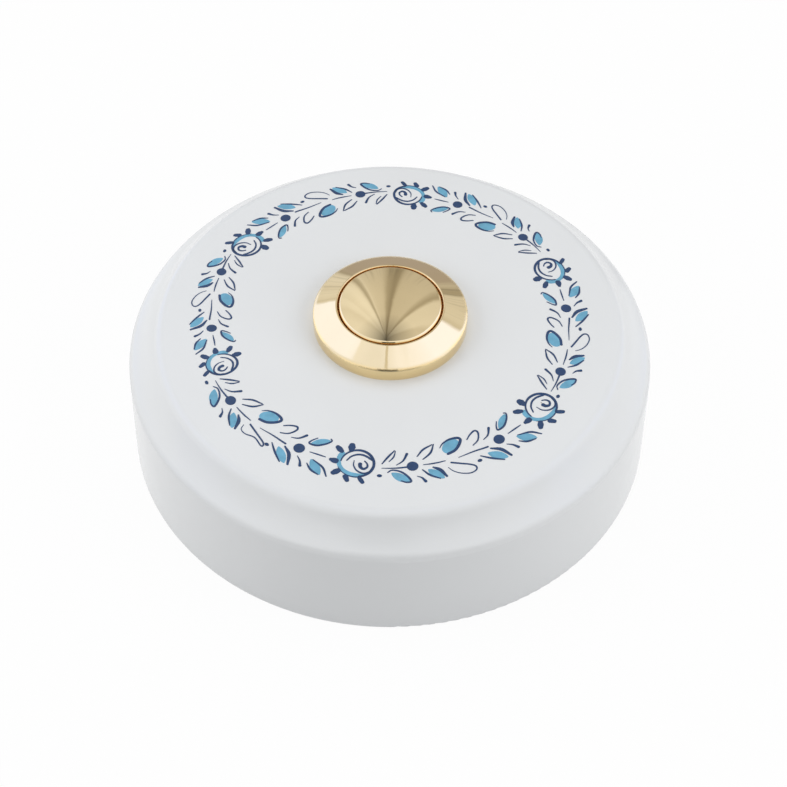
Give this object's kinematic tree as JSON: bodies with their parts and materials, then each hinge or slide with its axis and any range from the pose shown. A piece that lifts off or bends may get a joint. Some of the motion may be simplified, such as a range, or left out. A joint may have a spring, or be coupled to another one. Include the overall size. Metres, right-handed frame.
{
  "type": "bell push button",
  "caption": "Round glazed porcelain bell push with a stepped cover and blue wreath, a polished brass bezel and a sprung domed button that closes a switch on a hidden wall plate.",
  "frame": {"origin": "centre of the back, on the wall plane", "axes": "+Z out of the wall along the button's axis, +Y up the wall, +X to the right seen from the front"},
  "size_m": [0.08, 0.08, 0.0288],
  "materials": {
    "porcelain": "clear gloss glaze over white porcelain, blue print on top",
    "polished_brass": "mirror polished and lacquered",
    "sheet_brass": "plain rolled sheet",
    "bronze": "plain rolled sheet",
    "silver": "satin contact silver",
    "plated_steel": "zinc plated",
    "spring_steel": "bright drawn",
    "moulded_white": "moulded",
    "moulded_black": "moulded",
    "rubber": "soft"
  },
  "bodies": {
    "housing": {"porcelain_cover": "porcelain", "bezel_ring": "polished_brass", "bezel_seal": "rubber", "rim_gasket": "rubber", "wall_plate": "moulded_white", "contact_block": "moulded_black", "block_screws": "plated_steel", "contact_left": "sheet_brass", "contact_right": "sheet_brass", "contact_tips": "silver", "terminal_clamps": "sheet_brass", "terminal_screws": "plated_steel", "terminal_nuts": "plated_steel", "spring_seat": "sheet_brass", "return_spring": "spring_steel"},
    "button": {"push_button": "polished_brass", "plunger": "moulded_black", "contact_bridge": "bronze", "bridge_washer": "sheet_brass", "bridge_clip": "spring_steel"}
  },
  "joints": [
    {"name": "button_press", "type": "slide", "parent": "housing", "child": "button", "axis": [0, 0, -1], "range_m": [0, 0.002], "stiffness_N_per_m": 600, "springref_m": -0.002, "deforming": ["return_spring"]}
  ]
}
